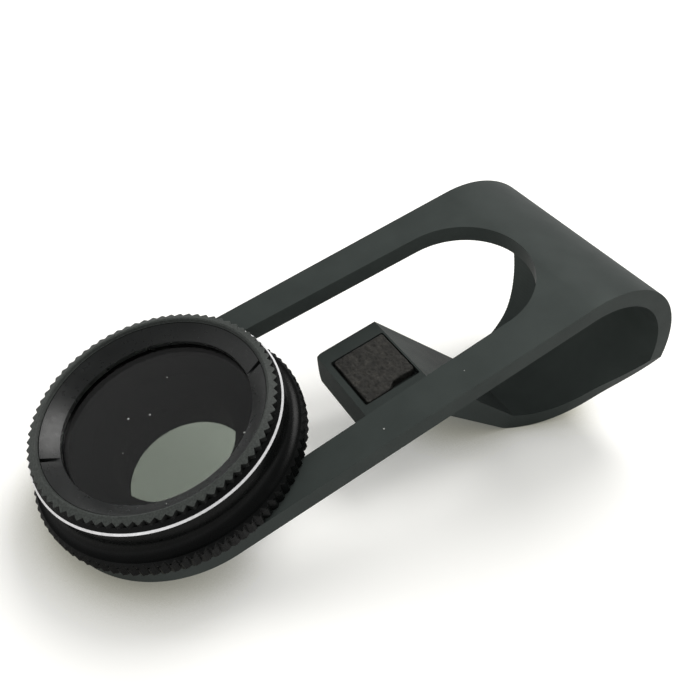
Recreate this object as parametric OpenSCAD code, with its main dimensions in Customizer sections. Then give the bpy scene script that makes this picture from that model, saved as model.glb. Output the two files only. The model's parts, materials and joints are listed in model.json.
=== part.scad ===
// Clip-on polarizing filter for a phone camera: a one-piece sprung clip, a turned lens barrel
// screwed into its round end, and a knurled front ring that turns the polarizer.
// The part lies on a table as it comes to rest, with Z up and the clip's long side along X.

/* [Clip] */
// thickness of the moulded clip, plate and arm alike
plate_t = 2.5; // [2:0.1:3]
// radius of the round end under the lens
end_r = 16; // [15.5:0.1:17]
// angle by which each long side runs in towards the loop
side_taper = 0.7; // [0:0.1:1.5]
// from the lens axis to the centre of the loop
loop_x = 51.5; // [48:0.5:58]
// outer radius of the loop
loop_r = 15.2; // [14:0.1:17]
// radius of the opening's rounded end
opening_r = 10.2; // [8:0.1:11]
// from the loop's centre back to the centre of the opening's rounded end
opening_back = 9.5; // [8.5:0.5:12]
// angle by which each side of the opening runs in towards the loop
opening_taper = 2; // [0:0.5:3]
// radius about the lens axis at which the opening begins
opening_start_r = 15; // [12:0.1:15.4]

/* [Arm and jaw] */
// angle below level at which the arm leaves the loop
arm_leave = 121; // [115:1:128]
// slope of the straight arm that rises to the jaw
arm_rise = 56; // [50:1:62]
// how much the arm thickens on its way to the jaw
arm_root = 2; // [0:0.1:3]
// half width of the arm at the jaw
arm_half_w = 7; // [6:0.1:8]
// half width of the arm at the lowest point of the loop
arm_foot_half_w = 8.7; // [8.2:0.1:10]
// how fast the arm widens along the foot of the loop
arm_foot_slope = 0.25; // [0.1:0.01:0.3]
// half width of the arm where it curves up the back of the loop
arm_back_half_w = 13; // [11.5:0.1:14]
// how fast the arm widens up the back of the loop
arm_back_slope = 0.5; // [0.4:0.02:0.6]
// gap between the plate's underside and the top of the jaw
jaw_gap = 4.6; // [4:0.1:7]
// thickness of the jaw at its tip
jaw_t = 3.5; // [3:0.1:4.5]
// from the lens axis to the top edge of the jaw's tip
jaw_tip_x = 22.4; // [21.5:0.1:24]
// how far the foot of the tip reaches ahead of its top edge
jaw_lead = 0.8; // [0:0.1:1]
// radius of the tip's corners seen from above
jaw_corner_r = 1.8; // [0.5:0.1:3]

/* [Jaw pad] */
// half width of the pocket that holds the pad
pocket_half_w = 4.6; // [3.5:0.1:5]
// length of the pocket along the jaw
pocket_len = 8.6; // [6:0.1:8.8]
// depth of the pocket
pocket_depth = 1.2; // [0.8:0.1:1.6]
// rim of the jaw in front of the pocket
pad_rim = 0.9; // [0.6:0.1:1.5]
// how far the pad stands out of its pocket
pad_proud = 0.1; // [0:0.05:0.4]
// gap between the pad and the pocket's front wall
pad_front_gap = 0.45; // [0.1:0.05:0.6]
// gap between the pad and each other wall of its pocket
pad_gap = 0.2; // [0.1:0.05:0.4]
// how far the rear of the pad's near side is cut back
pad_cut = 0.9; // [0:0.1:1.5]

/* [Front ring] */
// radius over the teeth of the front ring, which the other lens radii follow
front_r = 14.65; // [11:0.05:18]
// number of teeth round the front ring
front_teeth = 78; // [60:6:90]
// depth of the front ring's teeth
front_tooth = 0.5; // [0.3:0.05:0.6]
// width of the ring's end face
rim_w = 1; // [0.8:0.05:1.3]
// how much higher the end face is at its inner edge
rim_rise = 0.35; // [0.2:0.05:0.6]
// height of the ring's toothed side
side_h = 0.6; // [0.4:0.05:1.2]
// how much narrower the retaining ring's thread is than the mouth
mouth_in = 0.35; // [0.3:0.05:0.45]
// depth of a groove of the mouth's thread
thread_lip = 0.2; // [0.1:0.02:0.25]
// pitch of the mouth's thread
thread_pitch = 0.24; // [0.15:0.01:0.3]
// wall round the retaining ring's thread
neck_wall = 0.6; // [0.4:0.05:0.8]
// how far the neck sinks into the barrel
neck_h = 1.05; // [0.8:0.05:1.2]
// how much narrower the skirt is than the retaining ring's thread
skirt_in = 0.45; // [0.3:0.05:0.6]
// running clearance between the front ring and the barrel
turn_gap = 0.05; // [0.02:0.01:0.08]

/* [Barrel] */
// wall of the barrel's top round the neck
top_wall = 0.4; // [0.3:0.05:0.8]
// width of the bright bevel
bevel_w = 0.65; // [0.4:0.05:0.9]
// height of the bright bevel
bevel_h = 0.65; // [0.4:0.05:0.9]
// step under the bright bevel
bevel_step = 0.15; // [0.1:0.05:0.3]
// how much narrower the waist is than the bevel
waist_in = 0.4; // [0.3:0.05:0.6]
// how much the waist widens towards the bevel
waist_flare = 0.25; // [0:0.05:0.3]
// height of the waist between cove and bevel
waist_h = 2.45; // [1.5:0.05:4]
// radius of the cove under the waist
cove_r = 1.5; // [1:0.05:1.8]
// how far the base ring's teeth stand out beyond the cove
base_lip = 0.5; // [0.45:0.05:0.8]
// height of the base ring
base_h = 2.3; // [1.8:0.1:3]
// number of teeth round the base ring
base_teeth = 88; // [72:4:100]
// depth of the base ring's teeth
base_tooth = 0.45; // [0.3:0.05:0.45]
// height of the base ring's upper bevel
base_bevel = 0.4; // [0.2:0.05:0.6]
// height of the base ring's lower bevel
base_edge = 0.2; // [0.1:0.05:0.4]
// thickness of the web between base ring and spigot
web_t = 1.5; // [1:0.1:2]
// radius of the threaded spigot that screws into the clip
spigot_r = 8.5; // [7:0.1:9]
// wall of the spigot round the bore that the camera looks through
spigot_wall = 0.95; // [0.8:0.05:1.5]
// how far the spigot reaches below the plate
spigot_drop = 4.3; // [3:0.1:4.5]
// how far the bore's flare reaches below the plate's top
flare_sink = 0.3; // [0:0.05:0.4]

/* [Glass and rings] */
// depth of the front glass below the mouth's edge
glass_drop = 2.4; // [2:0.05:2.6]
// width of the shoulder that the retaining ring is screwed down on
shoulder_w = 1.5; // [1:0.05:2]
// height of that shoulder above the glass
shoulder_h = 0.8; // [0.6:0.05:0.9]
// thickness of each glass disc
glass_t = 0.8; // [0.6:0.05:0.9]
// thickness of the polarizing film
film_t = 0.2; // [0.1:0.05:0.3]
// thickness of the retarding film
retarder_t = 0.15; // [0.1:0.05:0.2]
// gap round the glass discs
glass_gap = 0.05; // [0.02:0.01:0.1]
// width of the ledge that the glass stack rests on
ledge_w = 0.6; // [0.4:0.1:1]
// thickness of that ledge
ledge_t = 0.6; // [0.4:0.1:0.8]
// how far the retaining ring reaches over the glass
retainer_lip = 0.45; // [0.3:0.05:0.8]
// height of the retaining ring above its shoulder
retainer_h = 1.15; // [0.9:0.05:1.2]
// width of the retaining ring's outer facet
facet_w = 0.85; // [0.5:0.05:1]
// drop of the retaining ring's outer facet
facet_drop = 0.55; // [0.3:0.05:0.7]
// height of the retaining ring's inner edge above the glass
retainer_edge_h = 0.6; // [0.4:0.05:0.8]
// width of the two spanner slots
slot_w = 0.6; // [0.4:0.1:1]
// depth left under the spanner slots, above the shoulder
slot_floor = 0.2; // [0.1:0.05:0.4]
// how far the slots stop short of the ring's inner edge
slot_stop = 0.45; // [0.2:0.05:0.6]
// bearing of the spanner slots about the lens axis
slot_turn = 172; // [0:1:180]
// height of the wire ring that keeps the front ring in the barrel
snap_t = 0.65; // [0.5:0.05:0.7]
// from the neck's floor down to the foot of the wire ring
snap_drop = 1.3; // [1:0.05:1.5]
// how deep the wire ring sits in the barrel, and in the skirt
snap_bite = 0.45; // [0.3:0.05:0.5]
// how deep the wire ring reaches into the skirt's groove
snap_reach = 0.35; // [0.2:0.05:0.4]
// room round the wire ring in the skirt's groove
snap_play = 0.05; // [0.03:0.01:0.1]
// angle left open in the wire ring
snap_mouth = 20; // [10:5:40]

/* [Hidden] */
$fn = 96;
// large enough to pass right through the part
far = 90;
over = 1;

loop_in_r = loop_r - plate_t;
loop_z = -loop_r;
spigot_end = -plate_t - spigot_drop;

// how far the arm's outline reaches back into the loop's disc
overlap_turn = 6;
overlap_r = 0.95;
jaw_top = -plate_t - jaw_gap;
jaw_low = jaw_top - jaw_t;
arm_in = [loop_x + loop_in_r * cos(arm_leave), loop_z - loop_in_r * sin(arm_leave)];
arm_out = [loop_x + loop_r * cos(arm_leave), loop_z - loop_r * sin(arm_leave)];
arm_side = [-plate_t * sin(arm_rise), -plate_t * cos(arm_rise)];
jaw_back_x = arm_in[0] - (jaw_top - arm_in[1]) / tan(arm_rise);
jaw_under_x = jaw_back_x + arm_side[0] + (jaw_t + arm_side[1]) / tan(arm_rise) - arm_root;
// level at which the steep taper is measured, down from the loop's centre
back_turn = 39;

pocket_x = jaw_tip_x + pad_rim;
pad_mid = 0.5;
pad_low_x = pocket_x + pad_front_gap;
pad_high_x = pocket_x + pocket_len - pad_gap;
pad_y = pocket_half_w - pad_gap;

// how far the turned profiles run past the tooth tips before the teeth are cut
tip_room = 0.3;

mouth_r = front_r - rim_w;
retainer_thread_r = mouth_r - mouth_in;
neck_r = retainer_thread_r + neck_wall;
skirt_r = retainer_thread_r - skirt_in;
glass_r = retainer_thread_r - shoulder_w;
seat_r = glass_r + glass_gap;
ledge_r = glass_r - ledge_w;
retainer_r = glass_r - retainer_lip;

barrel_bore_r = skirt_r + turn_gap;
neck_bore_r = neck_r + turn_gap;
barrel_top_r = neck_bore_r + top_wall;
bevel_r = barrel_top_r + bevel_w;
waist_low_r = bevel_r - waist_in;
waist_top_r = waist_low_r + waist_flare;
cove_x = waist_low_r + cove_r;
base_r = cove_x + base_lip;
port_r = spigot_r - spigot_wall;

waist_low_z = base_h + cove_r;
bevel_z = waist_low_z + waist_h;
barrel_top_z = bevel_z + bevel_h;
neck_floor_z = barrel_top_z - neck_h;
head_z = barrel_top_z + turn_gap;
front_tip_z = head_z + side_h;
front_edge_z = front_tip_z + rim_rise;
glass_z = front_edge_z - glass_drop;
shoulder_z = glass_z + shoulder_h;
retainer_top_z = shoulder_z + retainer_h;
ledge_z = glass_z - 2 * glass_t - film_t - retarder_t;

snap_z = neck_floor_z - snap_drop;
snap_in_r = skirt_r - snap_reach;
snap_out_r = barrel_bore_r + snap_bite;

// the clip rests on the rim of the spigot and on the loop
rest_x = loop_x + spigot_r;
rest_z = loop_z - spigot_end;
tilt = asin(loop_r / norm([rest_x, rest_z])) - atan2(rest_z, rest_x);
x_high = loop_x * cos(tilt) - loop_z * sin(tilt) + loop_r;
x_low = -max(front_r * cos(tilt) + front_tip_z * sin(tilt),
    bevel_r * cos(tilt) + bevel_z * sin(tilt),
    base_r * cos(tilt) + base_h * sin(tilt));
z_low = -spigot_r * sin(tilt) + spigot_end * cos(tilt);

// lays the part on the table with the middle of its outline over the origin
module at_rest() {
    translate([-(x_high + x_low) / 2, 0, -z_low])
        rotate([0, -tilt, 0])
            children();
}

// a round bar with triangular teeth along it
module toothed_bar(tip_r, depth, teeth) {
    translate([0, 0, -far])
        linear_extrude(2 * far)
            polygon([for (i = [0 : 2 * teeth - 1])
                let (a = i * 180 / teeth, r = tip_r - (i % 2) * depth)
                [r * cos(a), r * sin(a)]]);
}

// a side view in X and Z drawn out across the clip
module across() {
    translate([0, end_r + over, 0])
        rotate([90, 0, 0])
            linear_extrude(2 * (end_r + over))
                children();
}

// a view from above drawn out right through the plate
module upright() {
    translate([0, 0, -far])
        linear_extrude(2 * far)
            children();
}

// the clip from above: a round end and two sides that run in
module clip_sides() {
    far_y = (end_r - far * sin(side_taper)) / cos(side_taper);
    near = [end_r * sin(side_taper), end_r * cos(side_taper)];
    union() {
        upright()
            circle(r = end_r);
        upright()
            polygon([[0, 0], near, [far, far_y], [far, -far_y], [near[0], -near[1]]]);
    }
}

// the long opening, round at the loop and hollowed round the lens
module opening() {
    c = loop_x - opening_back;
    side = [c + opening_r * sin(opening_taper), opening_r * cos(opening_taper)];
    start_y = side[1] + side[0] * tan(opening_taper);
    intersection() {
        difference() {
            union() {
                upright()
                    translate([c, 0])
                        circle(r = opening_r);
                upright()
                    polygon([[0, start_y], side, [side[0], -side[1]], [0, -start_y]]);
            }
            upright()
                circle(r = opening_start_r);
        }
        translate([0, -end_r, -plate_t - over])
            cube([far, 2 * end_r, plate_t + 2 * over]);
    }
}

// a disc about the loop's centre that stops where the arm leaves it, joined with an outline
module round_and_run(r, points) {
    leave = [cos(arm_leave), -sin(arm_leave)];
    back = arm_leave - overlap_turn;
    centre = [loop_x, loop_z];
    union() {
        difference() {
            across()
                translate(centre)
                    circle(r = r);
            across()
                translate(centre)
                    polygon([[-r / 2, 0], [-far, 0], far * leave, r / 2 * leave]);
        }
        across()
            polygon(concat([centre, centre + overlap_r * r * [cos(back), -sin(back)]], points));
    }
}

// the whole clip from the side: plate, loop, straight arm and jaw round one long hollow
module side_form() {
    difference() {
        round_and_run(loop_r, [arm_out, arm_in + arm_side, [jaw_under_x, jaw_low],
            [jaw_tip_x - jaw_lead, jaw_low], [jaw_tip_x, jaw_top], [-end_r, -plate_t],
            [-end_r, 0], [loop_x, 0]]);
        round_and_run(loop_in_r, [arm_in, [jaw_back_x, jaw_top],
            [-end_r - over, jaw_top], [-end_r - over, -plate_t], [loop_x, -plate_t]]);
    }
}

// a slab below the loop's centre that widens along X
module taper_slab(half_w, slope, reach) {
    translate([0, 0, -far])
        linear_extrude(far)
            polygon([[-reach, slope * reach - half_w], [reach, -slope * reach - half_w],
                [reach, half_w + slope * reach], [-reach, half_w - slope * reach]]);
}

// how wide the arm is: steep up the back of the loop, slow along its foot, even at the jaw
module arm_width() {
    translate([loop_x, 0, loop_z]) {
        rotate([0, back_turn - 90, 0])
            taper_slab(arm_back_half_w, arm_back_slope, loop_r + over);
        taper_slab(arm_foot_half_w, arm_foot_slope, loop_r + over);
    }
    translate([0, -arm_half_w, -far])
        cube([loop_x, 2 * arm_half_w, far]);
}

// what lies outside the arm's width, under the plate and below the loop's centre
module beside_arm() {
    difference() {
        across()
            polygon([[0, -far], [0, -plate_t - over], [loop_x, -plate_t - over],
                [loop_x, loop_z], [far, loop_z], [far, -far]]);
        arm_width();
    }
}

// what is lost where a corner of the jaw's tip is rounded
module tip_corner() {
    translate([jaw_tip_x - jaw_lead, arm_half_w - jaw_corner_r, jaw_low - over])
        linear_extrude(jaw_t + 2 * over)
            difference() {
                translate([-over, 0])
                    square(jaw_corner_r + over);
                translate([jaw_corner_r, 0])
                    circle(r = jaw_corner_r);
            }
}

module clip_body() {
    color("#26282a")
        at_rest()
            difference() {
                intersection() {
                    side_form();
                    clip_sides();
                }
                beside_arm();
                opening();
                translate([0, 0, -plate_t - over])
                    cylinder(r = spigot_r, h = plate_t + 2 * over);
                translate([pocket_x, -pocket_half_w, jaw_top - pocket_depth])
                    cube([pocket_len, 2 * pocket_half_w, pocket_depth + over]);
                for (side = [0, 1])
                    mirror([0, side, 0])
                        tip_corner();
            }
}

// the soft pad in the jaw, narrower on its near side towards the arm
module jaw_pad() {
    mid_x = (pad_low_x + pad_high_x) / 2;
    color("#2b2c2b")
        at_rest()
            translate([0, 0, jaw_top - pocket_depth])
                linear_extrude(pocket_depth + pad_proud)
                    polygon([[pad_low_x, -pad_y], [mid_x - pad_mid, -pad_y],
                        [mid_x + pad_mid, pad_cut - pad_y], [pad_high_x, pad_cut - pad_y],
                        [pad_high_x, pad_y], [pad_low_x, pad_y]]);
}

// base ring, cove, waist and bevel are turned in one piece with the spigot
module lens_barrel() {
    clear_r = base_r + tip_room;
    bevel_fall = base_bevel / (base_r - cove_x);
    color("#1c1d1f")
        at_rest()
            intersection() {
                toothed_bar(base_r, base_tooth, base_teeth);
                rotate_extrude()
                    difference() {
                        polygon([[port_r, spigot_end], [spigot_r, spigot_end], [spigot_r, 0],
                            [base_r - base_edge, 0], [clear_r, base_edge + clear_r - base_r],
                            [clear_r, base_h - bevel_fall * (clear_r - cove_x)],
                            [cove_x, base_h],
                            [cove_x, waist_low_z], [waist_low_r, waist_low_z],
                            [waist_top_r, bevel_z - bevel_step], [bevel_r, bevel_z],
                            [barrel_top_r, barrel_top_z], [neck_bore_r, barrel_top_z],
                            [neck_bore_r, neck_floor_z], [barrel_bore_r, neck_floor_z],
                            [barrel_bore_r, snap_z + snap_t], [snap_out_r, snap_z + snap_t],
                            [snap_out_r, snap_z], [barrel_bore_r, snap_z],
                            [barrel_bore_r, web_t],
                            [port_r + web_t + flare_sink, web_t], [port_r, -flare_sink]]);
                        translate([cove_x, waist_low_z])
                            circle(r = cove_r);
                    }
            }
}

// the wire ring that keeps the front ring in the barrel, open on one side
module snap_ring() {
    mouth_y = far * sin(snap_mouth / 2);
    color("#8b8e92")
        at_rest()
            translate([0, 0, snap_z])
                difference() {
                    cylinder(r = snap_out_r, h = snap_t);
                    translate([0, 0, -over])
                        cylinder(r = snap_in_r, h = snap_t + 2 * over);
                    translate([0, 0, -over])
                        linear_extrude(snap_t + 2 * over)
                            polygon([[0, 0], [far, mouth_y], [far, -mouth_y]]);
                }
}

// knurled head, threaded mouth, neck, skirt with its groove, and the ledge under the glass
module front_ring() {
    neck_z = neck_floor_z + turn_gap;
    groove_r = snap_in_r - 2 * snap_play;
    groove_low = snap_z - snap_play;
    groove_high = snap_z + snap_t + snap_play;
    lip = [mouth_r - thread_lip, front_edge_z - thread_pitch / 2];
    root = [mouth_r - thread_lip / 2, front_edge_z - thread_pitch];
    clear_r = front_r + tip_room;
    front_fall = (front_edge_z - front_tip_z) / (front_r - mouth_r);
    color("#1f2022")
        at_rest()
            intersection() {
                toothed_bar(front_r, front_tooth, front_teeth);
                rotate_extrude()
                    polygon([[ledge_r, ledge_z - ledge_t], [skirt_r, ledge_z - ledge_t],
                        [skirt_r, groove_low], [groove_r, groove_low],
                        [groove_r, groove_high], [skirt_r, groove_high],
                        [skirt_r, neck_z], [neck_r, neck_z], [neck_r, head_z],
                        [clear_r, head_z], [clear_r, front_edge_z - front_fall * (clear_r - mouth_r)],
                        [mouth_r, front_edge_z],
                        lip, root, [retainer_thread_r, retainer_top_z],
                        [retainer_thread_r, shoulder_z], [seat_r, shoulder_z],
                        [seat_r, ledge_z], [ledge_r, ledge_z]]);
            }
}

// two bright facets run down to the glass, and two slots take a spanner
module retaining_ring() {
    facet_r = retainer_thread_r - facet_w;
    facet_z = retainer_top_z - facet_drop;
    slot_in_r = retainer_r + slot_stop;
    color("#2a2c2d")
        at_rest()
            difference() {
                rotate_extrude()
                    polygon([[retainer_r, glass_z], [glass_r, glass_z], [glass_r, shoulder_z],
                        [retainer_thread_r, shoulder_z], [retainer_thread_r, retainer_top_z],
                        [facet_r, facet_z], [retainer_r, glass_z + retainer_edge_h]]);
                for (turn = [0, 180])
                    rotate([0, 0, slot_turn + turn])
                        translate([slot_in_r, -slot_w / 2, shoulder_z + slot_floor])
                            cube([far, slot_w, far]);
            }
}

module disc_at(z, thickness) {
    at_rest()
        translate([0, 0, z])
            cylinder(r = glass_r, h = thickness);
}

module front_glass() {
    color("#5a6462", 0.35)
        disc_at(glass_z - glass_t, glass_t);
}

module polarizing_film() {
    color("#4b5250", 0.6)
        disc_at(glass_z - glass_t - film_t, film_t);
}

module retarding_film() {
    color("#8a928f", 0.4)
        disc_at(ledge_z + glass_t, retarder_t);
}

module rear_glass() {
    color("#5a6462", 0.35)
        disc_at(ledge_z, glass_t);
}

clip_body();
jaw_pad();
lens_barrel();
snap_ring();
front_ring();
retaining_ring();
front_glass();
polarizing_film();
retarding_film();
rear_glass();
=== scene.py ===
import json
import math
import random

import bmesh
import bpy
from mathutils import Matrix, Vector, noise


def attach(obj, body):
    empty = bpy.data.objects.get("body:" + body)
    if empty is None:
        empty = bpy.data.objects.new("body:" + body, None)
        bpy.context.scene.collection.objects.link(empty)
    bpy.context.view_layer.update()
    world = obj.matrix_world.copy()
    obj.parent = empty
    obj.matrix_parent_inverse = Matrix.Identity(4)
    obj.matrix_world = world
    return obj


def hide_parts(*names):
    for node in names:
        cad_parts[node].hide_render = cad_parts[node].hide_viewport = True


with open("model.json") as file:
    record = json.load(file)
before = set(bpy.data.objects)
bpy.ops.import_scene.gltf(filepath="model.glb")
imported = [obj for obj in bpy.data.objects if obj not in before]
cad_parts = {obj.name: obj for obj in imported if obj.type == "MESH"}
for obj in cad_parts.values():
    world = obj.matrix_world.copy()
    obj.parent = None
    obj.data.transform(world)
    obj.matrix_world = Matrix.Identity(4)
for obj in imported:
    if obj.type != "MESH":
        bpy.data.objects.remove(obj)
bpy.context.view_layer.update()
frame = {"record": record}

MM = 0.001
TAU = 2 * math.pi

# The clip's own frame: millimetres, the plate's top at zero, the lens axis through the origin
TURN = next(j for j in frame["record"]["behaviour"]["joints"] if j["name"] == "polarizer_turn")
TILT = math.atan2(-TURN["axis"][0], TURN["axis"][2])
TURN_HEIGHT = 5.0
ORIGIN = Vector(TURN["pos_m"]) - TURN_HEIGHT * MM * Vector(TURN["axis"])
SEAT = Matrix.Translation(ORIGIN) @ Matrix.Rotation(-TILT, 4, "Y")

# Clip
PLATE_T = 2.5
END_R = 16.0
SIDE_TAPER = math.radians(0.7)
LOOP_X = 51.5
LOOP_R = 15.2
LOOP_IN_R = LOOP_R - PLATE_T
OPENING_R = 10.2
OPENING_X = LOOP_X - 9.5
OPENING_TAPER = math.radians(2)
OPENING_START_R = 15.0
ARM_LEAVE = math.radians(121)
ARM_RISE = math.radians(56)
ARM_ROOT = 2.0
ARM_HALF_W = 7.0
ARM_FOOT_HALF_W = 8.7
ARM_FOOT_SLOPE = 0.25
ARM_BACK_HALF_W = 13.0
ARM_BACK_SLOPE = 0.5
ARM_BACK_TURN = math.radians(39)
JAW_TOP = -PLATE_T - 4.6
JAW_LOW = JAW_TOP - 3.5
JAW_TIP_X = 22.4
JAW_LEAD = 0.8
JAW_CORNER_R = 1.8
POCKET_X = JAW_TIP_X + 0.9
POCKET_LEN = 8.6
POCKET_HALF_W = 4.6
POCKET_DEPTH = 1.2
PAD_PROUD = 0.1
PAD_CUT = 0.9

CLIP_EDGE = 0.3

# Facets of the loop; the cuts beside the arm begin and end in the middle of a facet
LOOP_STEP = math.pi / 81
LOOP_STEPS = 94
ARM_STEPS = 55

# Lens
SPIGOT_R = 8.5
SPIGOT_END = -PLATE_T - 4.3
PORT_R = 7.55
FLARE_SINK = 0.3
PORT_EDGE = 0.7
BASE_R = 16.6
BASE_H = 2.3
BASE_TEETH = 88
BASE_TOOTH = 0.45
WAIST_LOW_R = 14.6
WAIST_LOW_Z = 3.8
WAIST_TOP_R = 14.85
BEVEL_R = 15.0
BEVEL_Z = 6.25
BARREL_TOP_R = 14.35
BARREL_TOP_Z = 6.9
BRIGHT_TOP_Z = 6.44
WEB_T = 1.5
FRONT_R = 14.65
FRONT_TEETH = 78
FRONT_TOOTH = 0.5
FRONT_TIP_Z = 7.55
FRONT_EDGE_Z = 7.9
HEAD_Z = 6.95
MOUTH_R = 13.65
NECK_R = 13.9
SKIRT_R = 12.85
TURN_GAP = 0.05
GLASS_R = 11.8
GLASS_Z = 5.5
GLASS_T = 0.8
FILM_T = 0.2
RETARDER_T = 0.15
LEDGE_Z = 3.55
LEDGE_R = 11.2
RETAINER_R = 11.35
RETAINER_THREAD_R = 13.3
SHOULDER_Z = 6.3
SLOT_W = 0.45
SLOT_STOP = 0.7
SLOT_TURN = math.radians(172)
SNAP_Z = 4.55
SNAP_T = 0.65
SNAP_IN_R = 12.5
SNAP_OUT_R = 13.35

# Camera, fitted to the photograph: eye in the clip's own frame
EYE = SEAT @ (MM * Vector((1.341, -63.99, 75.88)))
FOCAL_MM = 41.34
SENSOR_MM = 36.0


# Shapes

def arc(cx, cy, r, a0, a1, n):
    return [(cx + r * math.cos(a0 + (a1 - a0) * i / n), cy + r * math.sin(a0 + (a1 - a0) * i / n))
            for i in range(n + 1)]


def rounded(points, steps=4):
    """Points (x, y, radius) of a closed outline, with each corner turned into an arc."""
    out = []
    n = len(points)
    for i, (x, y, r) in enumerate(points):
        here = Vector((x, y))
        before = Vector(points[i - 1][:2]) - here
        after = Vector(points[(i + 1) % n][:2]) - here
        half = before.angle(after) / 2
        if r <= 0 or half > math.radians(88):
            out.append((x, y))
            continue
        run = min(r / math.tan(half), 0.48 * before.length, 0.48 * after.length)
        start = here + before.normalized() * run
        stop = here + after.normalized() * run
        for k in range(steps + 1):
            f = k / steps
            a = start.lerp(here, f)
            b = here.lerp(stop, f)
            out.append(tuple(a.lerp(b, f)))
    return out


def as_object(name, bm, body, slot, material, *more, smooth=35):
    """A bmesh in the clip's millimetres becomes a piece that rides on a body."""
    bmesh.ops.remove_doubles(bm, verts=bm.verts, dist=1e-4)
    bmesh.ops.dissolve_degenerate(bm, edges=bm.edges, dist=1e-5)
    bmesh.ops.recalc_face_normals(bm, faces=bm.faces)
    bmesh.ops.scale(bm, vec=(MM, MM, MM), verts=bm.verts)
    bmesh.ops.transform(bm, matrix=SEAT, verts=bm.verts)
    mesh = bpy.data.meshes.new(name)
    bm.to_mesh(mesh)
    bm.free()
    for each in (material, *more):
        mesh.materials.append(each)
    mesh.shade_smooth()
    mesh.set_sharp_from_angle(angle=math.radians(smooth))
    piece = bpy.data.objects.new(name, mesh)
    bpy.context.scene.collection.objects.link(piece)
    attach(piece, body)
    return piece


def turned(profile, tip_r=None, depth=0, teeth=0, sectors=192, zone=None, notch=None):
    """A closed profile of (r, z) turned about the lens axis, with teeth cut from outside."""
    per_tooth = 12
    if teeth:
        sectors = teeth * per_tooth
    angles = [TAU * i / sectors for i in range(sectors)]
    if notch:
        angles = sorted(angles + notch["edges"])
        sectors = len(angles)
    bm = bmesh.new()
    rings = []
    for i, a in enumerate(angles):
        limit = None
        if teeth:
            phase = (a * teeth / TAU) % 1
            limit = tip_r - depth * tooth_fall(phase)
        ring = []
        for r, z in profile:
            if limit is not None:
                r = min(r, limit)
            if notch:
                r, z = notch["cut"](a, r, z)
            ring.append(bm.verts.new((r * math.cos(a), r * math.sin(a), z)))
        rings.append(ring)
    n = len(profile)
    for i in range(sectors):
        one, two = rings[i], rings[(i + 1) % sectors]
        for k in range(n):
            m = (k + 1) % n
            face = bm.faces.new((one[k], two[k], two[m], one[m]))
            if zone:
                face.material_index = zone(profile[k], profile[m])
    return bm


def tooth_fall(phase):
    """How deep a triangular tooth has fallen, from 0 at its rounded tip to 1 in the valley."""
    soft = 0.06
    fall = abs(2 * phase - 1)
    return math.sqrt(fall * fall + soft * soft) - soft * fall


def prism(outline, low, high, flat=False):
    """A closed outline drawn out along Z, or across the clip where it is a side view."""
    bm = bmesh.new()
    rows = []
    for h in (low, high):
        rows.append([bm.verts.new((x, h, y) if flat else (x, y, h)) for x, y in outline])
    n = len(outline)
    for i in range(n):
        bm.faces.new((rows[0][i], rows[0][(i + 1) % n], rows[1][(i + 1) % n], rows[1][i]))
    bm.faces.new(rows[0][::-1])
    bm.faces.new(rows[1])
    bmesh.ops.recalc_face_normals(bm, faces=bm.faces)
    return bm


def scratch_object(bm, name="cutter"):
    mesh = bpy.data.meshes.new(name)
    bm.to_mesh(mesh)
    bm.free()
    made = bpy.data.objects.new(name, mesh)
    bpy.context.scene.collection.objects.link(made)
    return made


def carve(base, cutter, how="DIFFERENCE"):
    """Cuts one scratch object with another and throws the cutter away."""
    cut = base.modifiers.new("cut", "BOOLEAN")
    cut.operation = how
    cut.solver = "EXACT"
    cut.object = cutter
    bake(base)
    bpy.data.objects.remove(cutter, do_unlink=True)


def bake(obj):
    """Applies an object's modifiers to its mesh."""
    depsgraph = bpy.context.evaluated_depsgraph_get()
    mesh = bpy.data.meshes.new_from_object(obj.evaluated_get(depsgraph))
    obj.modifiers.clear()
    obj.data = mesh


# Clip, from the same lines as the solid

def plan_outline():
    far = LOOP_X + LOOP_R + 2
    far_y = (END_R - far * math.sin(SIDE_TAPER)) / math.cos(SIDE_TAPER)
    top = math.pi / 2 - SIDE_TAPER
    return arc(0, 0, END_R, top, TAU - top, 96) + [(far, -far_y), (far, far_y)]


def opening_outline():
    a = math.pi / 2 - OPENING_TAPER
    end = arc(OPENING_X, 0, OPENING_R, -a, a, 48)
    side = end[-1]
    start_y = side[1] + side[0] * math.tan(OPENING_TAPER)
    slope = -math.tan(OPENING_TAPER)
    qa, qb, qc = 1 + slope ** 2, 2 * slope * start_y, start_y ** 2 - OPENING_START_R ** 2
    x = (-qb + math.sqrt(qb * qb - 4 * qa * qc)) / (2 * qa)
    b = math.atan2(start_y + slope * x, x)
    return end + arc(0, 0, OPENING_START_R, b, -b, 24)


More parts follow.
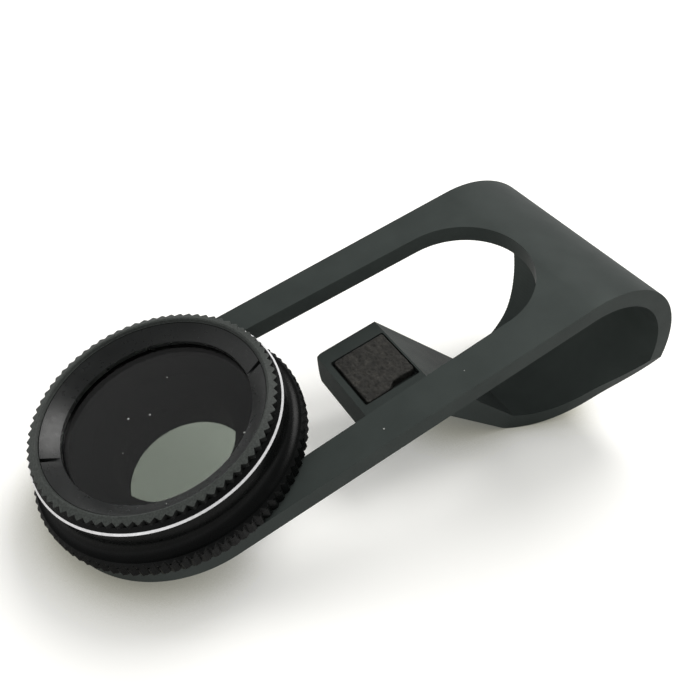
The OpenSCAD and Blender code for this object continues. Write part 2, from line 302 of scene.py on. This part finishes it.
def side_outline():
    arm_in = (LOOP_X + LOOP_IN_R * math.cos(ARM_LEAVE), -LOOP_R - LOOP_IN_R * math.sin(ARM_LEAVE))
    arm_out = (LOOP_X + LOOP_R * math.cos(ARM_LEAVE), -LOOP_R - LOOP_R * math.sin(ARM_LEAVE))
    jaw_back = arm_in[0] - (JAW_TOP - arm_in[1]) / math.tan(ARM_RISE)
    side = (-PLATE_T * math.sin(ARM_RISE), -PLATE_T * math.cos(ARM_RISE))
    under = jaw_back + side[0] + (JAW_TOP - JAW_LOW + side[1]) / math.tan(ARM_RISE) - ARM_ROOT
    foot = math.pi / 2 - LOOP_STEPS * LOOP_STEP
    outer = arc(LOOP_X, -LOOP_R, LOOP_R, math.pi / 2, foot, LOOP_STEPS)
    inner = arc(LOOP_X, -LOOP_R, LOOP_IN_R, foot, math.pi / 2, LOOP_STEPS)
    return ([(-END_R - 1, 0)] + outer + [arm_out, (arm_in[0] + side[0], arm_in[1] + side[1]),
            (under, JAW_LOW), (JAW_TIP_X - JAW_LEAD, JAW_LOW), (JAW_TIP_X, JAW_TOP),
            (jaw_back, JAW_TOP), arm_in] + inner + [(-END_R - 1, -PLATE_T)])


def arm_half_width(turn):
    """Half width of the arm at an angle below level on the loop."""
    mid = LOOP_R - PLATE_T / 2
    back = ARM_BACK_HALF_W + ARM_BACK_SLOPE * mid * math.sin(ARM_BACK_TURN - turn)
    foot = ARM_FOOT_HALF_W + ARM_FOOT_SLOPE * mid * math.cos(turn)
    soft = 0.5
    wide = (back + foot + math.sqrt((back - foot) ** 2 + soft ** 2)) / 2
    return max(wide, ARM_HALF_W)


def beside_arm(side):
    """What is cut away on one side of the arm, lofted round the loop and along the jaw."""
    stations = []
    for i in range(ARM_STEPS + 1):
        t = i * LOOP_STEP if i < ARM_STEPS else ARM_LEAVE + LOOP_STEP / 4
        away = (math.cos(t), -math.sin(t))
        near, far = LOOP_IN_R - 4, LOOP_R + 2
        half = arm_half_width(t) if i < ARM_STEPS else ARM_HALF_W
        stations.append(((LOOP_X + near * away[0], -LOOP_R + near * away[1]),
                         (LOOP_X + far * away[0], -LOOP_R + far * away[1]), half))
    stations.append(((40, -4.5), (20, -34), ARM_HALF_W))
    stations.append(((15, -4.5), (15, -34), ARM_HALF_W))
    outer = END_R + 4
    bm = bmesh.new()
    rows = []
    for (x0, z0), (x1, z1), half in stations:
        rows.append([bm.verts.new((x0, side * half, z0)), bm.verts.new((x1, side * half, z1)),
                     bm.verts.new((x1, side * outer, z1)), bm.verts.new((x0, side * outer, z0))])
    for one, two in zip(rows, rows[1:]):
        for k in range(4):
            bm.faces.new((one[k], one[(k + 1) % 4], two[(k + 1) % 4], two[k]))
    bm.faces.new(rows[0][::-1])
    bm.faces.new(rows[-1])
    bmesh.ops.recalc_face_normals(bm, faces=bm.faces)
    return bm


def tip_corner(side):
    x = JAW_TIP_X - JAW_LEAD
    y = ARM_HALF_W - JAW_CORNER_R
    curve = arc(x + JAW_CORNER_R, y, JAW_CORNER_R, math.pi, math.pi / 2, 10)
    outline = curve + [(x + JAW_CORNER_R, ARM_HALF_W + 1), (x - 1, ARM_HALF_W + 1), (x - 1, y)]
    return prism([(px, side * py) for px, py in outline], JAW_LOW - 1, JAW_TOP + 1)


def pocket():
    x0, x1, y, r = POCKET_X, POCKET_X + POCKET_LEN, POCKET_HALF_W, 0.35
    outline = rounded([(x0, -y, r), (x1, -y, r), (x1, y, r), (x0, y, r)])
    return prism(outline, JAW_TOP - POCKET_DEPTH, JAW_TOP + 1)


def make_clip(material):
    body = scratch_object(prism(side_outline(), -END_R - 1, END_R + 1, flat=True))
    carve(body, scratch_object(prism(plan_outline(), -40, 5)), "INTERSECT")
    carve(body, scratch_object(prism(opening_outline(), -PLATE_T - 1, 1)))
    for side in (1, -1):
        carve(body, scratch_object(beside_arm(side)))
        carve(body, scratch_object(tip_corner(side)))
    carve(body, scratch_object(pocket()))
    carve(body, scratch_object(prism(arc(0, 0, SPIGOT_R, 0, TAU, 96)[:-1], -PLATE_T - 1, 1)))
    bm = bmesh.new()
    bm.from_mesh(body.data)
    bpy.data.objects.remove(body, do_unlink=True)
    bmesh.ops.remove_doubles(bm, verts=bm.verts, dist=0.01)
    bmesh.ops.dissolve_limit(bm, angle_limit=math.radians(0.3), verts=bm.verts, edges=bm.edges)
    edges = [e for e in bm.edges if e.is_manifold and e.calc_face_angle(0) > math.radians(28)]
    bmesh.ops.bevel(bm, geom=edges, offset=CLIP_EDGE, segments=3, profile=0.5,
                    affect="EDGES", clamp_overlap=True)
    piece = as_object("clip_moulding", bm, "clip", "clip_plastic", material, smooth=40)
    even = piece.modifiers.new("even", "WEIGHTED_NORMAL")
    even.keep_sharp = True
    even.mode = "FACE_AREA_WITH_ANGLE"
    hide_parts("clip_body")
    return piece


def make_pad(material):
    """The pad: a closed slab whose top is rough and worn."""
    x0, x1 = POCKET_X + 0.45, POCKET_X + POCKET_LEN - 0.2
    y = POCKET_HALF_W - 0.2
    mid = (x0 + x1) / 2
    outline = rounded([(x0, -y, 0.3), (mid - 0.5, -y, 0.8), (mid + 0.5, PAD_CUT - y, 0.8),
                       (x1, PAD_CUT - y, 0.3), (x1, y, 0.3), (x0, y, 0.3)])
    low, high = JAW_TOP - POCKET_DEPTH, JAW_TOP + PAD_PROUD
    slab = scratch_object(prism(outline, low, high))
    mesher = slab.modifiers.new("fine", "REMESH")
    mesher.mode = "VOXEL"
    mesher.voxel_size = 0.12
    bake(slab)
    bm = bmesh.new()
    bm.from_mesh(slab.data)
    bpy.data.objects.remove(slab, do_unlink=True)
    for v in bm.verts:
        lift = max(0, (v.co.z - low) / (high - low))
        rough = noise.fractal(v.co * 1.6, 0.7, 2.2, 4) * 0.12
        pits = max(0, noise.noise(v.co * 3.1 + Vector((4, 7, 1)))) * 0.2
        v.co.z += lift * lift * (rough - pits - 0.03)
        v.co.x += 0.05 * noise.noise(v.co * 2.3)
        v.co.y += 0.05 * noise.noise(v.co * 2.3 + Vector((9, 2, 5)))
        v.co.z = max(v.co.z, low)
    piece = as_object("jaw_pad_rough", bm, "clip", "pad_rubber", material, smooth=60)
    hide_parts("jaw_pad")
    return piece


# Lens pieces

def make_barrel(black, bright, inside):
    cove_r = WAIST_LOW_Z - BASE_H
    cove_x = WAIST_LOW_R + cove_r
    cove = arc(cove_x, WAIST_LOW_Z, cove_r, -math.pi / 2, -math.pi, 14)
    groove = SNAP_OUT_R
    outer = rounded([
        (PORT_R, SPIGOT_END, 0.2), (SPIGOT_R, SPIGOT_END, 0.25), (SPIGOT_R, 0, 0.05),
        (BASE_R - 0.2, 0, 0.08), (BASE_R, 0.25, 0.08), (BASE_R, BASE_H - 0.4, 0.08)])
    teeth_top = [(BASE_R - f * (BASE_R - cove_x), BASE_H - 0.4 * (1 - f))
                 for f in (0.2, 0.4, 0.6, 0.8, 0.93)]
    upper = [(WAIST_TOP_R, BEVEL_Z - 0.17), (WAIST_TOP_R - 0.02, BEVEL_Z - 0.1),
             (BEVEL_R - 0.03, BEVEL_Z - 0.04), (BEVEL_R, BEVEL_Z)]
    face = [(BEVEL_R + (BARREL_TOP_R - BEVEL_R) * f, BEVEL_Z + (BARREL_TOP_Z - BEVEL_Z) * f)
            for f in (0.16, 0.32, 0.7, 1)]
    inner = [(NECK_R + TURN_GAP, BARREL_TOP_Z), (NECK_R + TURN_GAP, 5.85), (SKIRT_R + TURN_GAP, 5.85),
             (SKIRT_R + TURN_GAP, SNAP_Z + SNAP_T), (groove, SNAP_Z + SNAP_T), (groove, SNAP_Z),
             (SKIRT_R + TURN_GAP, SNAP_Z), (SKIRT_R + TURN_GAP, WEB_T),
             (PORT_R + WEB_T + FLARE_SINK, WEB_T), (PORT_R + FLARE_SINK, 0), (PORT_R, -PORT_EDGE)]
    profile = outer + teeth_top + cove + upper + face + inner

    def zone(one, two):
        r, z = (one[0] + two[0]) / 2, (one[1] + two[1]) / 2
        if BEVEL_Z - 0.02 < z < BRIGHT_TOP_Z and r > WAIST_TOP_R - 0.2:
            return 1
        if r < PORT_R + 0.01 or (r < NECK_R + TURN_GAP + 0.01 and z > -FLARE_SINK - 0.1):
            return 2
        return 0
    bm = turned(profile, BASE_R, BASE_TOOTH, BASE_TEETH, zone=zone)
    piece = as_object("barrel_turned", bm, "clip", "barrel_black", black, bright, inside, smooth=28)
    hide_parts("lens_barrel")
    return piece


def make_front_ring(material):
    neck_z = 5.9
    groove_r = SNAP_IN_R - 0.1
    fall = (FRONT_EDGE_Z - FRONT_TIP_Z) / (FRONT_R - MOUTH_R)
    top = [(FRONT_R - f, FRONT_TIP_Z + fall * f) for f in (0.06, 0.15, 0.28, 0.42, 0.55, 0.75, 0.92)]
    profile = ([(LEDGE_R, LEDGE_Z - 0.6), (SKIRT_R, LEDGE_Z - 0.6), (SKIRT_R, 4.5), (groove_r, 4.5),
                (groove_r, 5.25), (SKIRT_R, 5.25), (SKIRT_R, neck_z), (NECK_R, neck_z),
                (NECK_R, HEAD_Z), (FRONT_R - 0.08, HEAD_Z), (FRONT_R - 0.02, HEAD_Z + 0.03),
                (FRONT_R, HEAD_Z + 0.09), (FRONT_R, FRONT_TIP_Z - 0.08),
                (FRONT_R - 0.02, FRONT_TIP_Z - 0.02)] + top
               + [(MOUTH_R + 0.02, FRONT_EDGE_Z - 0.005), (MOUTH_R - 0.05, FRONT_EDGE_Z - 0.03),
                  (MOUTH_R - 0.2, FRONT_EDGE_Z - 0.12), (MOUTH_R - 0.1, FRONT_EDGE_Z - 0.2),
                  (MOUTH_R - 0.27, FRONT_EDGE_Z - 0.32), (MOUTH_R - 0.18, FRONT_EDGE_Z - 0.38),
                  (RETAINER_THREAD_R, FRONT_EDGE_Z - 0.45), (RETAINER_THREAD_R, SHOULDER_Z),
                  (GLASS_R + 0.05, SHOULDER_Z), (GLASS_R + 0.05, LEDGE_Z), (LEDGE_R, LEDGE_Z)])
    bm = turned(profile, FRONT_R, FRONT_TOOTH, FRONT_TEETH)
    piece = as_object("front_ring_knurled", bm, "polarizer", "ring_black", material, smooth=28)
    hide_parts("front_ring")
    return piece


def make_retaining_ring(material):
    facet = (RETAINER_THREAD_R - 0.85, SHOULDER_Z + 0.6)
    top = (RETAINER_THREAD_R - 0.03, SHOULDER_Z + 1.15)
    floor_z = SHOULDER_Z + 0.2
    profile = rounded([(RETAINER_R, GLASS_Z + 0.01, 0.05), (GLASS_R, GLASS_Z + 0.01, 0),
                       (GLASS_R, SHOULDER_Z, 0), (top[0], SHOULDER_Z, 0), (*top, 0.05), (*facet, 0.12),
                       (RETAINER_R, GLASS_Z + 0.6, 0.06)])
    half = SLOT_W / 2 / RETAINER_THREAD_R
    edge = 0.05 / RETAINER_THREAD_R
    edges = []
    for turn in (SLOT_TURN, SLOT_TURN + math.pi):
        edges += [(turn + s * w) % TAU for s in (-1, 1) for w in (half, half + edge)]

    def cut(a, r, z):
        for turn in (SLOT_TURN, SLOT_TURN + math.pi):
            gap = abs((a - turn + math.pi) % TAU - math.pi)
            if gap <= half + 1e-6 and r > RETAINER_R + SLOT_STOP:
                return r, min(z, floor_z)
        return r, z
    bm = turned(profile, sectors=256, notch={"edges": edges, "cut": cut})
    piece = as_object("retaining_ring_faceted", bm, "polarizer", "retainer_black", material, smooth=28)
    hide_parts("retaining_ring")
    return piece


def make_disc(name, node, body, slot, material, low, high, r=GLASS_R, edge=0.08):
    profile = [(0, low), (r - edge, low), (r, low + edge), (r, high - edge), (r - edge, high), (0, high)]
    bm = turned(profile, sectors=160)
    piece = as_object(name, bm, body, slot, material, smooth=28)
    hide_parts(node)
    return piece


def make_snap_ring(material):
    """An open wire ring: a square section swept from one side of its mouth to the other."""
    mouth = math.radians(10)
    steps = 120
    r0, r1 = SNAP_IN_R + 0.02, SNAP_OUT_R - 0.02
    z0, z1 = SNAP_Z + 0.02, SNAP_Z + SNAP_T - 0.02
    section = rounded([(r0, z0, 0.1), (r1, z0, 0.1), (r1, z1, 0.1), (r0, z1, 0.1)])
    bm = bmesh.new()
    rows = []
    for i in range(steps + 1):
        a = mouth + (TAU - 2 * mouth) * i / steps
        rows.append([bm.verts.new((r * math.cos(a), r * math.sin(a), z)) for r, z in section])
    n = len(section)
    for one, two in zip(rows, rows[1:]):
        for k in range(n):
            bm.faces.new((one[k], two[k], two[(k + 1) % n], one[(k + 1) % n]))
    bm.faces.new(rows[0])
    bm.faces.new(rows[-1][::-1])
    piece = as_object("snap_ring_wire", bm, "clip", "spring_wire", material, smooth=28)
    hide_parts("snap_ring")
    return piece


def make_dust(name, body, slot, material, places):
    """Flat pale flakes that lie on a surface: each place is x, y, z and a width."""
    bm = bmesh.new()
    for k, (x, y, z, width) in enumerate(places):
        flake = bmesh.ops.create_icosphere(bm, subdivisions=1, radius=width / 2)["verts"]
        for v in flake:
            v.co *= 0.8 + 0.35 * random.random()
            v.co.z *= 0.3
            v.co += Vector((x, y, z + 0.12 * width))
    return as_object(name, bm, body, slot, material, smooth=80)


# Materials

class Nodes:
    """A material being built, with short calls for the nodes that it needs."""

    def __init__(self, name):
        self.material = bpy.data.materials.new(name)
        self.material.use_nodes = True
        self.tree = self.material.node_tree
        self.shader = self.tree.nodes["Principled BSDF"]
        self.texture = self.tree.nodes.new("ShaderNodeTexCoord").outputs
        seat = self.tree.nodes.new("ShaderNodeMapping")
        seat.vector_type = "TEXTURE"
        seat.inputs["Location"].default_value = ORIGIN
        seat.inputs["Rotation"].default_value = (0, -TILT, 0)
        self.link(self.texture["Object"], seat.inputs["Vector"])
        self.coords = seat.outputs["Vector"]

    def link(self, a, b):
        self.tree.links.new(a, b)

    def add(self, kind, **values):
        node = self.tree.nodes.new("ShaderNode" + kind)
        for key, value in values.items():
            if hasattr(node, key):
                setattr(node, key, value)
            else:
                node.inputs[key.replace("_", " ")].default_value = value
        return node

    def set(self, **values):
        for key, value in values.items():
            self.shader.inputs[key.replace("_", " ")].default_value = value
        return self

    def noise(self, scale, detail=3.0, roughness=0.5, coords=None):
        node = self.add("TexNoise", Scale=scale, Detail=detail, Roughness=roughness)
        self.link(coords or self.coords, node.inputs["Vector"])
        return node.outputs["Fac"]

    def ramp(self, source, *stops):
        node = self.add("ValToRGB")
        ramp = node.color_ramp
        while len(ramp.elements) < len(stops):
            ramp.elements.new(0.5)
        for element, (place, value) in zip(ramp.elements, stops):
            element.position = place
            element.color = value if isinstance(value, tuple) else (value, value, value, 1)
        self.link(source, node.inputs["Fac"])
        return node.outputs["Color"]

    def math(self, operation, a, b=None):
        node = self.add("Math", operation=operation)
        for k, value in enumerate((a, b)):
            if value is None:
                continue
            if isinstance(value, (int, float)):
                node.inputs[k].default_value = value
            else:
                self.link(value, node.inputs[k])
        return node.outputs[0]

    def bump(self, height, distance, strength=1.0, below=None):
        node = self.add("Bump", Strength=strength, Distance=distance)
        self.link(height, node.inputs["Height"])
        if below is not None:
            self.link(below, node.inputs["Normal"])
        return node.outputs["Normal"]

    def mix(self, factor, a, b):
        node = self.add("MixRGB")
        self.link(factor, node.inputs[0])
        self.link(a, node.inputs[1])
        self.link(b, node.inputs[2])
        return node.outputs[0]

    def facing_front(self):
        """How far a surface faces along the lens axis, from 0 to 1."""
        along = self.add("VectorMath", operation="DOT_PRODUCT")
        self.link(self.texture["Normal"], along.inputs[0])
        along.inputs[1].default_value = TURN["axis"]
        return along.outputs["Value"]

    def turned_coords(self):
        """Radius and height about the lens axis, for marks that run round it."""
        parts = self.add("SeparateXYZ")
        self.link(self.coords, parts.inputs[0])
        x2 = self.math("MULTIPLY", parts.outputs[0], parts.outputs[0])
        y2 = self.math("MULTIPLY", parts.outputs[1], parts.outputs[1])
        r = self.math("SQRT", self.math("ADD", x2, y2))
        joined = self.add("CombineXYZ")
        self.link(r, joined.inputs[0])
        self.link(parts.outputs[2], joined.inputs[2])
        return joined.outputs[0]


def moulded_plastic():
    m = Nodes("clip_matt_moulding")
    grain = m.noise(9000, 4, 0.6)
    broad = m.noise(180, 3)
    m.link(m.ramp(broad, (0.3, (0.029, 0.0345, 0.0325, 1)), (0.75, (0.036, 0.0425, 0.04, 1))),
           m.shader.inputs["Base Color"])
    m.link(m.ramp(m.noise(420, 4), (0.35, 0.48), (0.7, 0.52)), m.shader.inputs["Roughness"])
    m.link(m.bump(grain, 0.00004, 0.35), m.shader.inputs["Normal"])
    return m.set(IOR=1.5, Specular_IOR_Level=0.15, Specular_Tint=(0.86, 1, 0.95, 1)).material


def rough_pad():
    m = Nodes("pad_rough_rubber")
    cells = m.noise(2600, 5, 0.7)
    dust = m.noise(900, 4, 0.65)
    m.link(m.ramp(dust, (0.3, (0.014, 0.0138, 0.0125, 1)), (0.62, (0.036, 0.0345, 0.03, 1)),
                  (0.8, (0.075, 0.07, 0.06, 1))), m.shader.inputs["Base Color"])
    m.link(m.bump(cells, 0.00012, 0.9), m.shader.inputs["Normal"])
    return m.set(Roughness=0.85, IOR=1.45).material


def anodised(name, dark, light, rough_low, rough_high, grain=0.5, shine=0.3, face=None):
    m = Nodes(name)
    rings = m.noise(14000, 2, 0.6, m.turned_coords())
    speckle = m.noise(7000, 4, 0.6)
    colour = m.ramp(m.noise(300, 3), (0.3, (*dark, 1)), (0.75, (*light, 1)))
    # Painted light: surfaces that face along the lens axis take the lighter, grainy face colour, a painted highlight on
    # the ring's front face.
    if face:
        colour = m.mix(m.ramp(m.facing_front(), (0.6, 0.0), (0.88, 1.0)), colour,
                       m.ramp(m.noise(5000, 3), (0.35, (*[0.6 * v for v in face], 1)), (0.65, (*face, 1))))
    m.link(colour, m.shader.inputs["Base Color"])
    m.link(m.ramp(m.noise(1500, 4), (0.3, rough_low), (0.7, rough_high)),
           m.shader.inputs["Roughness"])
    turned_marks = m.bump(rings, 0.00002, 0.35)
    m.link(m.bump(speckle, 0.00003, grain, turned_marks), m.shader.inputs["Normal"])
    return m.set(IOR=1.5, Specular_IOR_Level=shine).material


def lens_inside():
    m = Nodes("barrel_inside_matt")
    m.link(m.ramp(m.noise(250, 2), (0.3, (0.010, 0.0115, 0.011, 1)), (0.75, (0.015, 0.017, 0.016, 1))),
           m.shader.inputs["Base Color"])
    return m.set(Roughness=0.6, IOR=1.4).material


def pale_dust():
    m = Nodes("dust_pale")
    m.link(m.ramp(m.noise(4000, 2), (0.3, (0.3, 0.31, 0.3, 1)), (0.7, (0.55, 0.56, 0.54, 1))),
           m.shader.inputs["Base Color"])
    return m.set(Roughness=0.9, Specular_IOR_Level=0.1).material


def diamond_cut():
    m = Nodes("bevel_bright_cut")
    rings = m.noise(20000, 3, 0.7, m.turned_coords())
    m.link(m.ramp(m.noise(2500, 4), (0.35, (0.8, 0.8, 0.81, 1)), (0.7, (0.97, 0.97, 0.98, 1))),
           m.shader.inputs["Base Color"])
    m.link(m.ramp(m.noise(4000, 3), (0.3, 0.14), (0.7, 0.26)), m.shader.inputs["Roughness"])
    m.link(m.bump(rings, 0.00002, 0.5), m.shader.inputs["Normal"])
    return m.set(Metallic=0.45).material


def spring_wire():
    m = Nodes("wire_bright")
    m.link(m.ramp(m.noise(3000, 4), (0.3, 0.25), (0.7, 0.4)), m.shader.inputs["Roughness"])
    m.link(m.ramp(m.noise(700, 3), (0.3, (0.42, 0.43, 0.44, 1)), (0.7, (0.56, 0.57, 0.58, 1))),
           m.shader.inputs["Base Color"])
    return m.set(Metallic=1.0).material


def optical_glass():
    m = Nodes("glass_polished")
    m.link(m.ramp(m.noise(600, 4), (0.45, 0.0), (0.8, 0.035)), m.shader.inputs["Roughness"])
    return m.set(Base_Color=(0.94, 0.96, 0.95, 1), IOR=1.45, Transmission_Weight=1.0).material


def clear_film(name, colour):
    m = Nodes(name)
    m.link(m.ramp(m.noise(500, 2), (0.3, 0.0), (0.8, 0.02)), m.shader.inputs["Roughness"])
    return m.set(Base_Color=(*colour, 1), IOR=1.01, Transmission_Weight=1.0).material


# Stage

FLOOR_THROUGH_GLASS = 0.8
FLOOR_LIFT = 0.14
FLOOR_IN_MIRRORS = 0.55


def make_floor():
    size = 3.0
    bm = bmesh.new()
    bmesh.ops.create_grid(bm, x_segments=1, y_segments=1, size=size)
    mesh = bpy.data.meshes.new("floor")
    bm.to_mesh(mesh)
    bm.free()
    floor = bpy.data.objects.new("floor", mesh)
    bpy.context.scene.collection.objects.link(floor)
    m = Nodes("floor_paper")
    m.set(Roughness=0.9, Specular_IOR_Level=0.0)
    # Painted contact shadow: the floor's colour turns a warm dark brown where the object comes within 9 mm of it.
    close = m.add("AmbientOcclusion", samples=8, Distance=0.009)
    near = m.ramp(close.outputs["AO"], (0.0, (0.1, 0.09, 0.05, 1)), (0.4, (0.42, 0.4, 0.3, 1)),
                  (0.85, (0.93, 0.925, 0.91, 1)))
    path = m.add("LightPath")
    dim = m.add("MixRGB", blend_type="MULTIPLY", Color2=(FLOOR_IN_MIRRORS,) * 3 + (1,))
    m.link(path.outputs["Is Glossy Ray"], dim.inputs[0])
    m.link(near, dim.inputs[1])
    m.link(dim.outputs[0], m.shader.inputs["Base Color"])
    through = m.math("MULTIPLY", path.outputs["Is Transmission Ray"], FLOOR_THROUGH_GLASS)
    direct = m.math("MULTIPLY", path.outputs["Is Camera Ray"], FLOOR_LIFT)
    m.link(m.math("ADD", through, direct), m.shader.inputs["Emission Strength"])
    m.set(Emission_Color=(0.95, 0.97, 0.9, 1))
    # from below the floor can be looked through, so that the underside shows
    below = m.add("MixShader")
    m.link(m.add("NewGeometry").outputs["Backfacing"], below.inputs[0])
    m.link(m.shader.outputs[0], below.inputs[1])
    m.link(m.add("BsdfTransparent").outputs[0], below.inputs[2])
    m.link(below.outputs[0], m.tree.nodes["Material Output"].inputs["Surface"])
    mesh.materials.append(m.material)


def make_world():
    """Even light on all sides; what mirrors see is bright low down and dim overhead."""
    world = bpy.data.worlds.new("pale_room")
    bpy.context.scene.world = world
    world.use_nodes = True
    tree = world.node_tree
    light = tree.nodes["Background"]
    light.inputs["Color"].default_value = (1, 0.995, 0.985, 1)
    light.inputs["Strength"].default_value = 0.88
    seen = tree.nodes.new("ShaderNodeBackground")
    coords = tree.nodes.new("ShaderNodeTexCoord")
    parts = tree.nodes.new("ShaderNodeSeparateXYZ")
    ramp = tree.nodes.new("ShaderNodeValToRGB")
    elements = ramp.color_ramp.elements
    elements.new(0.5)
    for element, (height, level) in zip(elements, ((0.15, 0.95), (0.5, 0.35), (0.9, 0.2))):
        element.position = height
        element.color = (level, level, level, 1)
    tree.links.new(coords.outputs["Generated"], parts.inputs[0])
    tree.links.new(parts.outputs[2], ramp.inputs[0])
    tree.links.new(ramp.outputs[0], seen.inputs["Color"])
    path = tree.nodes.new("ShaderNodeLightPath")
    mix = tree.nodes.new("ShaderNodeMixShader")
    tree.links.new(path.outputs["Is Glossy Ray"], mix.inputs[0])
    tree.links.new(light.outputs[0], mix.inputs[1])
    tree.links.new(seen.outputs[0], mix.inputs[2])
    tree.links.new(mix.outputs[0], tree.nodes["World Output"].inputs["Surface"])


def make_lamp(name, place, size, power, colour=(1, 0.99, 0.975)):
    lamp = bpy.data.lights.new(name, "AREA")
    lamp.shape = "DISK"
    lamp.size = size
    lamp.energy = power
    lamp.color = colour
    made = bpy.data.objects.new(name, lamp)
    made.location = place
    made.rotation_euler = (-Vector(place)).to_track_quat("-Z", "Y").to_euler()
    bpy.context.scene.collection.objects.link(made)


def set_view():
    bpy.context.scene.view_settings.view_transform = "Standard"


def make_camera():
    data = bpy.data.cameras.new("camera")
    data.lens = FOCAL_MM
    data.sensor_width = SENSOR_MM
    data.clip_start = 0.005
    made = bpy.data.objects.new("camera", data)
    turn = Matrix.Rotation(-TILT, 3, "Y")
    right = turn @ Vector((0.83702, -0.51863, -0.17444))
    down = turn @ Vector((-0.49707, -0.58742, -0.63864))
    ahead = right.cross(down)
    matrix = Matrix((right, -down, -ahead)).transposed().to_4x4()
    matrix.translation = EYE
    made.matrix_world = matrix
    bpy.context.scene.collection.objects.link(made)
    bpy.context.scene.camera = made


random.seed(5)
set_view()
make_camera()
make_world()
make_floor()
make_lamp("key_back", (0.16, 0.12, 0.38), 0.24, 0.85)

# The front ring's last colour is painted light: its end face is painted lighter than the sides of its teeth.
ring_black = anodised("ring_black_anodised_painted_lit_face", (0.003, 0.0034, 0.0033), (0.0045, 0.005, 0.0048), 0.34, 0.44,
                      0.5, 0.12, (0.055, 0.061, 0.057))
make_clip(moulded_plastic())
make_pad(rough_pad())
make_barrel(anodised("barrel_black_anodised", (0.002, 0.0023, 0.0022), (0.0035, 0.0039, 0.0038), 0.24, 0.32, 0.2, 0.12),
            diamond_cut(), lens_inside())
make_front_ring(ring_black)
make_retaining_ring(anodised("retainer_black_anodised", (0.008, 0.009, 0.0088), (0.012, 0.0132, 0.0128),
                             0.26, 0.34, 0.15, 0.35))
make_snap_ring(spring_wire())
GAP = 0.02
glass = optical_glass()
make_disc("front_glass_disc", "front_glass", "polarizer", "optical_glass", glass,
          GLASS_Z - GLASS_T + GAP, GLASS_Z)
make_disc("polarizing_film_disc", "polarizing_film", "polarizer", "polarizer",
          clear_film("film_polarizing", (0.26, 0.275, 0.255)),
          GLASS_Z - GLASS_T - FILM_T + GAP, GLASS_Z - GLASS_T - GAP, edge=0.02)
make_disc("retarding_film_disc", "retarding_film", "polarizer", "retarder",
          clear_film("film_retarding", (0.9, 0.91, 0.89)),
          LEDGE_Z + GLASS_T + GAP, LEDGE_Z + GLASS_T + RETARDER_T - GAP, edge=0.02)
make_disc("rear_glass_disc", "rear_glass", "polarizer", "optical_glass", glass,
          LEDGE_Z, LEDGE_Z + GLASS_T - GAP)

dust = pale_dust()
make_dust("dust_on_glass", "polarizer", "optical_glass", dust,
          [(-2.81, 2.43, GLASS_Z, 0.26), (-0.48, 1.31, GLASS_Z, 0.24), (3.4, 5.2, GLASS_Z, 0.14),
           (-5.1, -1.7, GLASS_Z, 0.12)])
make_dust("dust_on_rings", "polarizer", "ring_black", dust,
          [(7.3, -8.6, GLASS_Z + 0.62, 0.26), (-3.43, -11.93, SHOULDER_Z + 0.55, 0.16)])
make_dust("dust_on_clip", "clip", "clip_plastic", dust, [(21.27, -13.85, 0, 0.26), (33.5, -12.9, 0, 0.14)])
